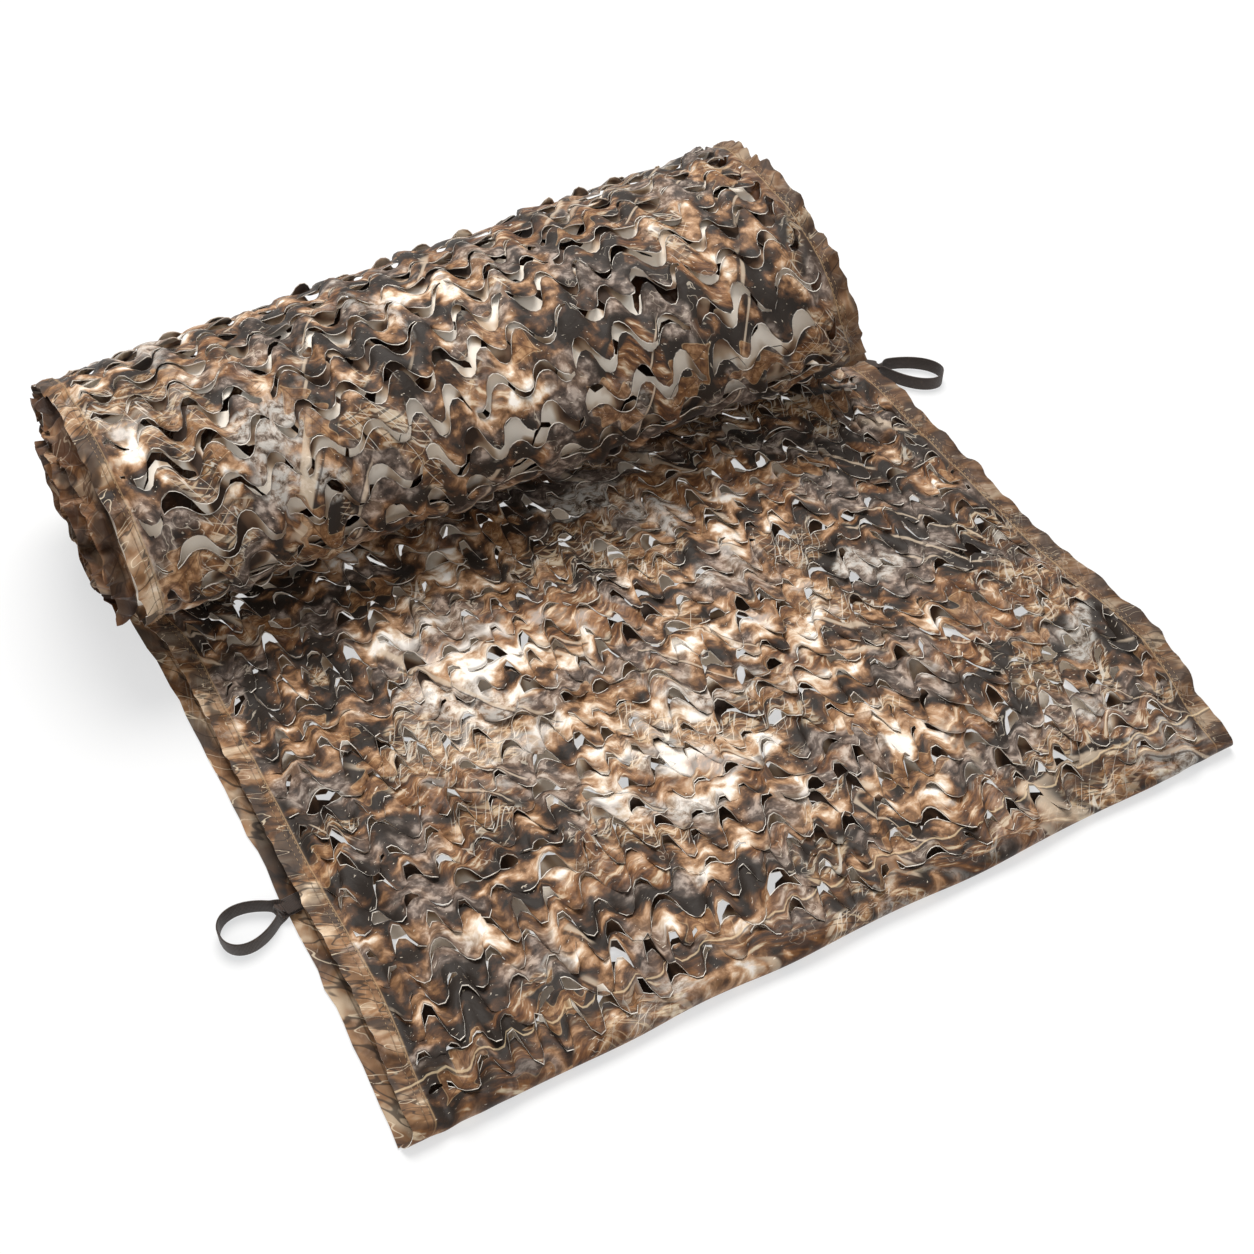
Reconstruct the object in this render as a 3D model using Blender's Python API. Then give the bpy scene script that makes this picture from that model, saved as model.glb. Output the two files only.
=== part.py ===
"""Camouflage net, folded in two and rolled up from its far end, its last stretch left lying open.

The net is one piece of thin leaf-cut cloth with a turned hem.  It is folded along the front edge,
so the open stretch and the roll are both double: the lower cloth lies on the ground, runs under
the roll and becomes its outer wrap, and the upper cloth is wound inside it.  A ribbon loop is sewn
in between the two cloths at the left side, and another at the right side.

X runs along the roll, Y from the front edge to the roll, Z up.  Metres.  The last step moves the
finished net so that the middle of its footprint is the origin.
"""
import math

import bmesh
import bpy
from mathutils import Vector

# The cloth, with the height of its cut leaves counted in its thickness
WIDTH = 0.500
CLOTH = 0.003
HEM = 0.025

# The fold: the distance between the middles of the two cloths, in the open stretch and in the roll,
# and over what share of the open stretch the first becomes the second
FOLD_GAP = 0.0075
TURN_PITCH = 0.009
GAP_CHANGE = 0.3
FOLD_STEPS = 4

# The roll, a little fuller at its right end, and pressed oval by its own weight
ROLL_HALF_HEIGHT = (0.0695, 0.0755)
ROLL_Y = (0.4050, 0.4110)
ROLL_OVAL = 1.45
ROLL_TURNS = 3.15
CORE_ROWS_A_TURN = 14

# The side edges of each cloth.  Place is -1 at the front fold, 0 under the roll, then in turns
LOWER_EDGES = (
    # place, left, right
    (-1.00, -0.006, 0.496),
    (-0.80, -0.004, 0.503),
    (-0.60, -0.005, 0.497),
    (-0.25, -0.007, 0.498),
    (0.00, -0.012, 0.492),
    (0.25, -0.016, 0.464),
    (0.50, -0.012, 0.446),
    (0.68, -0.010, 0.449),
    (0.85, -0.010, 0.468),
    (1.00, -0.012, 0.466),
    (1.60, -0.022, 0.446),
    (2.20, -0.024, 0.456),
    (3.20, -0.016, 0.446),
)
UPPER_EDGES = (
    (-1.00, 0.001, 0.493),
    (-0.80, 0.005, 0.508),
    (-0.55, -0.004, 0.499),
    (-0.20, -0.004, 0.498),
    (0.00, -0.014, 0.488),
    (0.50, -0.020, 0.438),
    (1.00, -0.021, 0.456),
    (1.50, -0.026, 0.442),
    (2.20, -0.018, 0.450),
    (3.20, -0.024, 0.440),
)

# The leaf cuts: one cut-through gap stands for each two across and each two along.  Lifts are for
# the leaf at a crest, the lobe in a trough and, taken away, the lip behind the leaf
CUT_COLUMNS = 30
COLUMNS_A_WAVE = 4
CUT_PITCH = 0.040
FIRST_GAP = 3
LIP_HALF_GAP = 0.003
CREST_OPENING = (0.0040, 0.0090)
TROUGH_DROP = 0.0050
SHOWN_LIFTS = (0.0035, 0.0020, 0.0010)
LYING_LIFTS = (-0.0012, 0.0, 0.0)

# Where the cuts run: on the open stretch, measured from the front edge, and round the wrap in turns.
# Each cloth then goes on with few columns, from its last row of cuts to the foot of the roll
FIRST_CUT_Y = 0.034
UPPER_CUT_ROWS = 8
LOWER_CUT_ROWS = 7
UPPER_FINE_END_Y = 0.346
LOWER_FINE_END_Y = 0.300
UPPER_FOOT_Y = 0.380
LOWER_FOOT_Y = 0.360
WRAP_FINE = (0.075, 0.925)
WRAP_CUT_ROWS = 9
WRAP_FIRST_CUT = 0.030

# Slack in the cloth: broad waves that fade out near the roll, the rippled right side, which lies still
# under the roll and past the end of the wrap, and the crinkled ends of the roll
SLACK = 0.0012
SLACK_WAVES = (0.21, 0.17)
SLACK_FADE = 0.16
RIPPLE_LIFT = 0.0030
RIPPLE_REACH = 0.0060
RIPPLE_LENGTH = 0.074
RIPPLE_STOPS = (-0.15, 0.05, 0.93)
CRINKLE = 0.0014
CRINKLE_START = 0.05
CLOTH_A_TURN = 0.43

# Ribbon loops: a flat 10 mm ribbon, its two ends laid on each other under the hem, its loop on edge
RIBBON = (0.0100, 0.0010)
RIBBON_PLY_STEP = 0.0024
ROOT_STEPS = 2
NECK_STEPS = 14
BEND_STEPS = 12
RIBBON_CLEAR = 0.0006
RIBBON_STEP = 0.002
LOOP_SHAPE = 1.1
WIDEST = 1.36
ROOT_LENGTH = 0.024
ROOT_SHARE = 0.20
NECK_SHARE = 0.26
NECK_LENGTH = 0.0048
LOOPS = (
    # name, root x, root y, way out in degrees from +X, length, width
    ("loop_left", -0.0070, 0.1465, 184.0, 0.0340, 0.0180),
    ("loop_right", 0.5030, 0.3620, -42.0, 0.0440, 0.0150),
)

CLOTH_COLOUR = (0.205, 0.150, 0.108, 1.0)
RIBBON_COLOUR = (0.032, 0.022, 0.016, 1.0)

ALL_COLUMNS = tuple(range(CUT_COLUMNS + 3))
FEW_COLUMNS = (0, 1, 6, 11, 16, 21, 26, 31, 32)

# A short way along the cloth, as a change of place and as a length
NEARBY = 0.001
SHORT_WALK = 0.0025


def clear_scene():
    """Remove whatever the scene holds."""
    for thing in list(bpy.data.objects):
        bpy.data.objects.remove(thing, do_unlink=True)


def finish_material(name, colour, roughness):
    """A plain finish of one colour."""
    material = bpy.data.materials.new(name)
    material.use_nodes = True
    shader = material.node_tree.nodes["Principled BSDF"]
    shader.inputs["Base Color"].default_value = colour
    shader.inputs["Roughness"].default_value = roughness
    shader.inputs["Metallic"].default_value = 0.0
    return material


def between(pair, share):
    """The value at a share of the way from the first to the second."""
    return pair[0] + (pair[1] - pair[0]) * share


def eased(share):
    """A share from 0 to 1 that starts and ends gently."""
    held = min(1.0, max(0.0, share))
    return held * held * (3.0 - 2.0 * held)


def edges_at(table, place):
    """The left and right edge of a cloth at a place along it."""
    for before, after in zip(table, table[1:]):
        if place <= after[0]:
            share = eased((place - before[0]) / (after[0] - before[0]))
            return tuple(between((before[side], after[side]), share) for side in (1, 2))
    return table[-1][1:]


def column_share(column):
    """How far across the cloth a column stands: the hems take one column each."""
    if column == 0:
        return 0.0
    if column == CUT_COLUMNS + 2:
        return 1.0
    inner = WIDTH - 2.0 * HEM
    return (HEM + inner * (column - 1) / CUT_COLUMNS) / WIDTH


def cloth_middle(level, place, share):
    """Y and Z of the middle of a cloth; level 0 is the lower, outer cloth and 1 the upper one."""
    half_height = between(ROLL_HALF_HEIGHT, share)
    roll_y = between(ROLL_Y, share)
    if place < 0.0:
        lift = level * between((FOLD_GAP, TURN_PITCH), eased(1.0 + place / GAP_CHANGE))
        return Vector((0.0, roll_y * (1.0 + place), CLOTH / 2.0 + lift))
    radius = half_height - TURN_PITCH * (2.0 * place + level)
    angle = 2.0 * math.pi * place
    y = roll_y + ROLL_OVAL * radius * math.sin(angle)
    return Vector((0.0, y, half_height + CLOTH / 2.0 - radius * math.cos(angle)))


def outward(level, place, share):
    """The direction in which the printed face of a cloth looks."""
    along = cloth_middle(level, place + NEARBY, share) - cloth_middle(level, place - NEARBY, share)
    inward = Vector((0.0, -along.z, along.y)).normalized()
    return inward if level else -inward


def place_of_y(y):
    """The place of a distance from the front edge, on the open stretch."""
    return y / between(ROLL_Y, 0.5) - 1.0


def place_after(level, place, distance):
    """The place that lies a distance further along a cloth, measured at mid width."""
    ahead = cloth_middle(level, place + NEARBY, 0.5)
    behind = cloth_middle(level, place - NEARBY, 0.5)
    return place + distance * 2.0 * NEARBY / (ahead - behind).length


def walk(level, place, distance):
    """The place that a longer distance leads to, in short steps."""
    steps = math.ceil(distance / SHORT_WALK)
    for _ in range(steps):
        place = place_after(level, place, distance / steps)
    return place


def ripple(distance):
    """A rounded ripple from 0 to 1, repeated along the right side."""
    return 0.5 - 0.5 * math.cos(2.0 * math.pi * distance / RIPPLE_LENGTH)


def rippled(level, place):
    """Whether the right side of a cloth is rippled at a place."""
    before, after, end = RIPPLE_STOPS
    if level:
        return place < before or place > after
    return after < place < end


def cloth_point(level, place, column, lift, row):
    """A point of the cloth, at a place and a column across, raised towards its printed face."""
    share = column_share(column)
    left, right = edges_at(UPPER_EDGES if level else LOWER_EDGES, place)
    x = between((left, right), share)
    distance = between(ROLL_Y, 0.5) * (1.0 + place)
    if place > 0.0:
        distance = between(ROLL_Y, 0.5) + CLOTH_A_TURN * place
    if level and place < 0.0:
        wave_x = math.sin(2.0 * math.pi * x / SLACK_WAVES[0] + 1.0)
        wave_y = math.sin(2.0 * math.pi * distance / SLACK_WAVES[1])
        lift += SLACK * (1.0 + wave_x * wave_y) * eased(-place / SLACK_FADE)
    if share == 1.0:
        x += RIPPLE_REACH * (ripple(distance) - 0.5)
    if share == 1.0 and rippled(level, place):
        lift += RIPPLE_LIFT * ripple(distance)
    if share in (0.0, 1.0) and place > CRINKLE_START:
        lift += CRINKLE * (-1.0) ** row
    return cloth_middle(level, place, share) + Vector((x, 0.0, 0.0)) + outward(level, place, share) * lift


def wave_at(column):
    """The wave of a cut: 1 at a crest, where the gap is, and -1 in a trough, alike in all rows."""
    return round(math.cos(2.0 * math.pi * (column - FIRST_GAP) / COLUMNS_A_WAVE), 6)


def cut_lines(level, place, cut_row, uphill, lifts):
    """Both lips of one row of cuts, the near lip first; uphill is the way the leaves point."""
    leaf_lift, lobe_lift, far_sink = lifts
    lips = ([], [])
    for column in ALL_COLUMNS:
        inside = 1 < column < CUT_COLUMNS + 1
        wave = wave_at(column) if inside else 0.0
        crest = max(wave, 0.0)
        trough = max(-wave, 0.0)
        near = -LIP_HALF_GAP + CREST_OPENING[0] * crest - TROUGH_DROP * trough
        far = LIP_HALF_GAP + CREST_OPENING[1] * crest - TROUGH_DROP * trough
        near_place = place_after(level, place, uphill * near)
        far_place = place_after(level, place, uphill * far)
        far_lift = lobe_lift * trough - far_sink * crest
        lips[0].append(cloth_point(level, near_place, column, leaf_lift * crest, cut_row))
        lips[1].append(cloth_point(level, far_place, column, far_lift, cut_row))
    return lips


def gap_columns():
    """The columns, by their left line, that a row of gaps leaves open."""
    crests = [c for c in ALL_COLUMNS if 1 < c < CUT_COLUMNS + 1 and wave_at(c) > 0.5]
    return {c - 1 for c in crests} | set(crests)


class Cloth:
    """The middle surface of the net, joined row by row from one end of the cloth to the other."""

    def __init__(self):
        self.mesh = bmesh.new()
        self.row = None
        self.columns = None

    def add(self, points, columns=ALL_COLUMNS, gaps=()):
        """Add the next row of points, and the faces to the row before, but for the gaps."""
        row = [self.mesh.verts.new(point) for point in points]
        if self.row:
            self.join(row, columns, gaps)
        self.row = row
        self.columns = columns

    def join(self, row, columns, gaps):
        """Faces between two rows; the coarser row's columns are among those of the finer one."""
        if self.columns == columns:
            for i in range(len(row) - 1):
                if columns[i] not in gaps:
                    self.mesh.faces.new((self.row[i], self.row[i + 1], row[i + 1], row[i]))
            return
        turned = len(columns) > len(self.columns)
        fine, coarse = (row, self.row) if turned else (self.row, row)
        marks = self.columns if turned else columns
        for i in range(len(marks) - 1):
            middle = (marks[i] + marks[i + 1]) // 2
            for c in range(marks[i], marks[i + 1]):
                tip = coarse[i] if c < middle else coarse[i + 1]
                self.face((fine[c], fine[c + 1], tip), turned)
            self.face((fine[middle], coarse[i + 1], coarse[i]), turned)

    def face(self, corners, turned):
        """One face, with its corners in reverse order where the finer row comes second."""
        self.mesh.faces.new(reversed(corners) if turned else corners)


def plain_row(cloth, level, place, columns, row=0):
    """One row with no cut in it."""
    cloth.add([cloth_point(level, place, c, 0.0, row) for c in columns], columns)


def wound_rows(cloth, level, places):
    """Rows of the inner turns, where nothing shows but the ends."""
    for row, place in enumerate(places):
        plain_row(cloth, level, place, FEW_COLUMNS, row)


def lying_cuts(cloth, level, cut_rows, lifts, backwards):
    """The rows of cuts of one cloth of the open stretch."""
    order = range(cut_rows - 1, -1, -1) if backwards else range(cut_rows)
    uphill = 1.0 if level else -1.0
    for cut_row in order:
        place = place_of_y(FIRST_CUT_Y + CUT_PITCH * cut_row)
        near, far = cut_lines(level, place, cut_row, uphill, lifts)
        first, second = (far, near) if (backwards == (uphill > 0.0)) else (near, far)
        cloth.add(first)
        cloth.add(second, ALL_COLUMNS, gap_columns())


def wrap_cuts(cloth):
    """The rows of cuts round the outer wrap, whose leaves point up the front of the roll."""
    place = place_after(0, WRAP_FINE[0], WRAP_FIRST_CUT)
    for cut_row in range(WRAP_CUT_ROWS):
        near, far = cut_lines(0, place, cut_row, -1.0, SHOWN_LIFTS)
        cloth.add(far)
        cloth.add(near, ALL_COLUMNS, gap_columns())
        halfway = walk(0, place, CUT_PITCH / 2.0)
        if cut_row < WRAP_CUT_ROWS - 1:
            plain_row(cloth, 0, halfway, ALL_COLUMNS, cut_row)
        place = walk(0, halfway, CUT_PITCH / 2.0)


def fold_rows(cloth):
    """The half-round fold along the front edge, from the upper cloth down to the lower one."""
    radius = FOLD_GAP / 2.0
    for step in range(1, FOLD_STEPS):
        share_down = step / FOLD_STEPS
        down = math.pi * share_down
        row = []
        for column in FEW_COLUMNS:
            upper = cloth_point(1, -1.0, column, 0.0, 0)
            lower = cloth_point(0, -1.0, column, 0.0, 0)
            point = upper.lerp(lower, share_down)
            height = (upper.z + lower.z) / 2.0 + (upper.z - lower.z) / 2.0 * math.cos(down)
            row.append(Vector((point.x, -radius * math.sin(down), height)))
        cloth.add(row, FEW_COLUMNS)


def spaced(start, end, count):
    """Evenly spaced places, both ends included."""
    return [start + (end - start) * i / count for i in range(count + 1)]


def make_net(material):
    """The whole net as one sheet, given its thickness at the end."""
    cloth = Cloth()
    wound = int(ROLL_TURNS * CORE_ROWS_A_TURN)
    wound_rows(cloth, 1, spaced(ROLL_TURNS, 0.0, wound))
    plain_row(cloth, 1, place_of_y(UPPER_FOOT_Y), FEW_COLUMNS)
    plain_row(cloth, 1, place_of_y(UPPER_FINE_END_Y), ALL_COLUMNS)
    lying_cuts(cloth, 1, UPPER_CUT_ROWS, SHOWN_LIFTS, True)
    plain_row(cloth, 1, -1.0, ALL_COLUMNS)
    fold_rows(cloth)
    plain_row(cloth, 0, -1.0, ALL_COLUMNS)
    lying_cuts(cloth, 0, LOWER_CUT_ROWS, LYING_LIFTS, False)
    plain_row(cloth, 0, place_of_y(LOWER_FINE_END_Y), ALL_COLUMNS)
    wound_rows(cloth, 0, spaced(place_of_y(LOWER_FOOT_Y), 0.0, 1) + [WRAP_FINE[0] / 2.0])
    plain_row(cloth, 0, WRAP_FINE[0], ALL_COLUMNS)
    wrap_cuts(cloth)
    plain_row(cloth, 0, WRAP_FINE[1], ALL_COLUMNS)
    inner = int((ROLL_TURNS - 1.0) * CORE_ROWS_A_TURN)
    wound_rows(cloth, 0, spaced(1.0, ROLL_TURNS, inner))

    data = bpy.data.meshes.new("net")
    cloth.mesh.to_mesh(data)
    cloth.mesh.free()
    net = bpy.data.objects.new("net", data)
    bpy.context.collection.objects.link(net)
    data.materials.append(material)
    thickness = net.modifiers.new("cloth thickness", "SOLIDIFY")
    thickness.thickness = CLOTH
    thickness.offset = 0.0
    return net


def ribbon_frame(share, length, width):
    """Course of the ribbon, its way off that course and how far it stands up; the root is the origin."""
    first_half = share < 0.5
    from_end = share if first_half else 1.0 - share
    side = 1.0 if first_half else -1.0
    twisted = min(1.0, max(0.0, (from_end - ROOT_SHARE) / (NECK_SHARE - ROOT_SHARE)))
    stand = math.radians(90.0) * twisted
    spread = 0.0
    if from_end < ROOT_SHARE:
        reach = ROOT_LENGTH * (from_end / ROOT_SHARE - 1.0)
    elif from_end < NECK_SHARE:
        reach = NECK_LENGTH * twisted
    else:
        turn = math.pi * (from_end - NECK_SHARE) / (0.5 - NECK_SHARE)
        reach = NECK_LENGTH + (length - NECK_LENGTH) * (1.0 - math.cos(turn)) / 2.0
        spread = width / WIDEST * math.sin(turn) * math.sin(turn / 2.0) ** LOOP_SHAPE
    apart = Vector((0.0, math.sin(stand), math.cos(stand))) * (side * RIBBON_PLY_STEP / 2.0)
    rest_z = RIBBON[0] / 2.0 + RIBBON_CLEAR
    root_z = CLOTH + (FOLD_GAP - CLOTH) / 2.0
    height = between((root_z, rest_z), twisted)
    return Vector((reach, side * spread, height)), apart, stand if first_half else math.pi - stand


def ribbon_shares():
    """Where the ribbon's cross sections stand: closest together in the two necks."""
    half = spaced(0.0, ROOT_SHARE, ROOT_STEPS)[:-1] + spaced(ROOT_SHARE, NECK_SHARE, NECK_STEPS)[:-1]
    half += spaced(NECK_SHARE, 0.5, BEND_STEPS)[:-1]
    return half + [0.5] + [1.0 - share for share in reversed(half)]


def make_loop(name, x, y, way_out, length, width, material):
    """A ribbon loop: its two ends lie flat on each other, and it twists up to stand on its edge."""
    mesh = bmesh.new()
    turn = math.radians(way_out)
    rings = []
    for share in ribbon_shares():
        course, apart, stand = ribbon_frame(share, length, width)
        middle = course + apart
        ahead = ribbon_frame(min(1.0, share + RIBBON_STEP), length, width)[0]
        along = ahead - ribbon_frame(max(0.0, share - RIBBON_STEP), length, width)[0]
        along.z = 0.0
        along.normalize()
        beside = Vector((-along.y, along.x, 0.0))
        across = beside * -math.cos(stand) + Vector((0.0, 0.0, math.sin(stand)))
        through = across.cross(along).normalized()
        ring = []
        for a, b in ((-1, -1), (1, -1), (1, 1), (-1, 1)):
            local = middle + across * (a * RIBBON[0] / 2.0) + through * (b * RIBBON[1] / 2.0)
            east = local.x * math.cos(turn) - local.y * math.sin(turn)
            north = local.x * math.sin(turn) + local.y * math.cos(turn)
            ring.append(mesh.verts.new((east, north, local.z)))
        rings.append(ring)
    for ring, after in zip(rings, rings[1:]):
        for i in range(4):
            mesh.faces.new((ring[i], ring[(i + 1) % 4], after[(i + 1) % 4], after[i]))
    mesh.faces.new(rings[0])
    mesh.faces.new(rings[-1])
    bmesh.ops.recalc_face_normals(mesh, faces=mesh.faces)
    data = bpy.data.meshes.new(name)
    mesh.to_mesh(data)
    mesh.free()
    loop = bpy.data.objects.new(name, data)
    bpy.context.collection.objects.link(loop)
    loop.location = (x, y, 0.0)
    data.materials.append(material)
    return loop


def centre_on_footprint(pieces):
    """Move the pieces so that the middle of the footprint is the origin, at ground level."""
    bpy.context.view_layer.update()
    graph = bpy.context.evaluated_depsgraph_get()
    corners = []
    for piece in pieces:
        shape = piece.evaluated_get(graph)
        corners += [piece.matrix_world @ Vector(corner) for corner in shape.bound_box]
    low = [min(corner[axis] for corner in corners) for axis in range(3)]
    high = [max(corner[axis] for corner in corners) for axis in range(3)]
    shift = Vector(((low[0] + high[0]) / 2.0, (low[1] + high[1]) / 2.0, low[2]))
    for piece in pieces:
        piece.location -= shift


clear_scene()
net_cloth = finish_material("printed net cloth", CLOTH_COLOUR, 0.85)
ribbon_weave = finish_material("brown ribbon", RIBBON_COLOUR, 0.8)
things = [make_net(net_cloth)]
for loop_row in LOOPS:
    things.append(make_loop(*loop_row, ribbon_weave))
centre_on_footprint(things)
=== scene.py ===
"""Camouflage net of leaf-cut cloth, folded in two and rolled up, with its last stretch left lying open.

The pieces follow in the order in which the net would be laid and rolled: the lower cloth, the upper
cloth with the fold, the inner turns of the roll, its outer wrap, the hem stitches, the ribbon loops.
Metres; X runs along the roll, Y from the fold to the roll, Z up, the middle of the footprint at 0.
"""
import math

import bpy
import numpy as np
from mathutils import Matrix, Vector


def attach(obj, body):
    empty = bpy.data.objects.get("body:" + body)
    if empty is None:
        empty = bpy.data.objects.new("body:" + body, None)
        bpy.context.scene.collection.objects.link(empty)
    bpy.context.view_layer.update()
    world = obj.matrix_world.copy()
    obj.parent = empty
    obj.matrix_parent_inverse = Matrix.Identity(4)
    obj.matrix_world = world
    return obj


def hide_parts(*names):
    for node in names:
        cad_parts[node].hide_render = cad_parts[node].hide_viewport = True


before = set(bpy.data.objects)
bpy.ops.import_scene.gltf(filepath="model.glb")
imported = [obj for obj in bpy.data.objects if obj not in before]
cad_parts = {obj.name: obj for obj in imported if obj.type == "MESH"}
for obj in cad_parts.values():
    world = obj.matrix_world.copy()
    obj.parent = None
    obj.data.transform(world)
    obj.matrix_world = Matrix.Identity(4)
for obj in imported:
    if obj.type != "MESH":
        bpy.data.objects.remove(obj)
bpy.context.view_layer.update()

# ---------------------------------------------------------------------------------------------------
# The lower cloth: thin printed polyester with its print outwards, so that its off-white back looks up.
# It lies on the ground from the fold to the roll, and its rows of wavy cuts have parted a little.
# Its two sides are turned under into stitched hems of 12 mm.

# where the cloth lies: place is -1 at the fold, 0 under the roll, then in turns of the roll
CORNER = Vector((-0.24855, -0.25471, 0.0))
WIDTH = 0.500
HEM = 0.0125
SEAMS = (0.0082, 0.0112)
FOLD_GAP = 0.0075
TURN_PITCH = 0.009
GAP_CHANGE = 0.3
REST_HEIGHT = 0.0015
ROLL_HALF_HEIGHT = (0.0695, 0.0755)
ROLL_Y = (0.4050, 0.4110)
ROLL_OVAL = 1.45
SLACK = 0.0018
SLACK_WAVES = (0.21, 0.17)
SLACK_CALMS = 0.16
LOWER_EDGES = (
    # place, left, right
    (-1.00, -0.006, 0.496), (-0.80, -0.004, 0.503), (-0.60, -0.005, 0.497), (-0.25, -0.007, 0.498),
    (0.00, -0.012, 0.492), (0.25, -0.016, 0.464), (0.50, -0.012, 0.446), (0.68, -0.010, 0.449),
    (0.85, -0.010, 0.468), (1.00, -0.012, 0.466), (1.60, -0.026, 0.446), (2.20, -0.028, 0.456),
    (3.20, -0.016, 0.446),
)
UPPER_EDGES = (
    (-1.00, 0.001, 0.493), (-0.80, 0.005, 0.508), (-0.55, 0.002, 0.499), (-0.20, 0.001, 0.498),
    (0.00, -0.014, 0.488), (0.50, -0.021, 0.438), (1.00, -0.022, 0.456), (1.50, -0.030, 0.442),
    (2.20, -0.018, 0.450), (3.20, -0.024, 0.440),
)

# the thin cloth, and its leaf cuts: rows of waves across it, which start at the hems
CLOTH = 0.00045
WAVE_BEND = 1.12
STRIP = 0.0190
CUTS_GROW = 0.006
ROW_SWAY = 0.0015
TURN = 2.0 * np.pi

# the hems: how proud the doubled cloth stands, and the furrow of the seam
HEM_PROUD = 0.0010
HEM_SLOPE = 0.006
FURROW = (0.0022, 0.0008)


def eased(share):
    """A share that starts and ends gently."""
    held = np.clip(share, 0.0, 1.0)
    return held * held * (3.0 - 2.0 * held)


def between(pair, share):
    """The value at a share of the way from the first of a pair to the second."""
    return pair[0] + (pair[1] - pair[0]) * share


def side_edges(level, place):
    """Left and right edge of a cloth at each place."""
    table = np.array(UPPER_EDGES if level else LOWER_EDGES)
    after = np.clip(np.searchsorted(table[:, 0], place), 1, len(table) - 1)
    before = after - 1
    share = eased((place - table[before, 0]) / (table[after, 0] - table[before, 0]))
    left = table[before, 1] + (table[after, 1] - table[before, 1]) * share
    right = table[before, 2] + (table[after, 2] - table[before, 2]) * share
    return left, right


def cloth_middle(level, place, share):
    """Y and Z of the middle of a cloth: level 0 is the lower, outer cloth and 1 the upper, inner one."""
    half_height = between(ROLL_HALF_HEIGHT, share)
    roll_y = between(ROLL_Y, share)
    lift = level * between((FOLD_GAP, TURN_PITCH), eased(1.0 + place / GAP_CHANGE))
    radius = half_height - TURN_PITCH * (2.0 * place + level)
    angle = TURN * place
    y = np.where(place < 0.0, roll_y * (1.0 + place), roll_y + ROLL_OVAL * radius * np.sin(angle))
    round_z = half_height + REST_HEIGHT - radius * np.cos(angle)
    return y, np.where(place < 0.0, REST_HEIGHT + lift, round_z)


def wobble(seed, x, y, length):
    """Smooth unevenness between about -1 and 1, with bumps of about the given length."""
    source = np.random.default_rng(seed)
    total = 0.0
    for _ in range(5):
        heading = source.uniform(0.0, TURN)
        turns = TURN / (length * source.uniform(1.4, 2.8))
        start = source.uniform(0.0, TURN)
        total = total + np.sin(turns * (x * np.cos(heading) + y * np.sin(heading)) + start)
    return total / 2.6


# distances along each cloth from the fold, at mid width, to turn them into places
PLACES = np.linspace(-1.0, 3.2, 4201)
DISTANCES = []
for level in (0, 1):
    course_y, course_z = cloth_middle(level, PLACES, 0.5)
    steps = np.hypot(np.diff(course_y), np.diff(course_z))
    DISTANCES.append(np.concatenate(([0.0], np.cumsum(steps))))


def cloth_points(level, across, along, lift):
    """Points of a cloth from flat distances across and along it, raised towards its printed face."""
    place = np.interp(along, DISTANCES[level], PLACES)
    share = across / WIDTH
    left, right = side_edges(level, place)
    near_y, near_z = cloth_middle(level, place - 0.001, share)
    far_y, far_z = cloth_middle(level, place + 0.001, share)
    length = np.hypot(far_y - near_y, far_z - near_z)
    face = 1.0 if level else -1.0
    out_y = -(far_z - near_z) / length * face
    out_z = (far_y - near_y) / length * face
    x = left + (right - left) * share
    if level:
        waves_across = np.sin(TURN * x / SLACK_WAVES[0] + 1.0)
        slack = 1.0 + waves_across * np.sin(TURN * along / SLACK_WAVES[1])
        lift = lift + SLACK * slack * eased(-place / SLACK_CALMS)
    y, z = cloth_middle(level, place, share)
    high = np.maximum(z + out_z * lift, CLOTH)
    return np.stack((x + CORNER.x, y + out_y * lift + CORNER.y, high), axis=-1)


# one wave of a cut: a meander with steep sides, as its height and its sideways lean at each angle
MEANDER = np.linspace(0.0, TURN, 721)
heading = -WAVE_BEND * np.sin(MEANDER)
run = np.concatenate(([0.0], np.cumsum(np.cos((heading[1:] + heading[:-1]) / 2.0))))
rise = np.concatenate(([0.0], np.cumsum(np.sin((heading[1:] + heading[:-1]) / 2.0))))
WAVE_RISE = 2.0 * (rise - rise.min()) / (rise.max() - rise.min()) - 1.0
WAVE_LEAN = run * TURN / run[-1] - MEANDER


def meander(angle):
    """Height and sideways lean of a cut at each angle."""
    turned = np.mod(angle, TURN)
    return np.interp(turned, MEANDER, WAVE_RISE), np.interp(turned, MEANDER, WAVE_LEAN)


def cloth_columns(waves, a_wave):
    """Flat distances across the cloth of its columns: close together in the hems, even between them."""
    hem = np.array((0.0, 0.0010, 0.0030, 0.0052, 0.0072, 0.0090, 0.0108))
    inner = HEM + (WIDTH - 2.0 * HEM) * np.linspace(0.0, 1.0, waves * a_wave + 1)
    return np.concatenate((hem, inner, WIDTH - hem[::-1]))


def hem_lift(seed, across, along, pucker, length=0.010):
    """How far a hem stands proud: its doubled cloth, its puckers, and the furrow of its seam."""
    from_side = np.minimum(across, WIDTH - across)
    in_hem = eased((HEM + HEM_SLOPE / 2.0 - from_side) / HEM_SLOPE)
    puckers = wobble(seed, along, from_side * 0.5, length)
    puckers = puckers + 0.9 * wobble(seed + 1, along, from_side * 0.5, 2.0 * length)
    puckers = puckers * eased(1.4 - from_side / HEM)
    seam = np.exp(-((from_side - SEAMS[0]) / FURROW[0]) ** 2)
    return in_hem * HEM_PROUD + puckers * pucker * in_hem - seam * FURROW[1]


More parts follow.
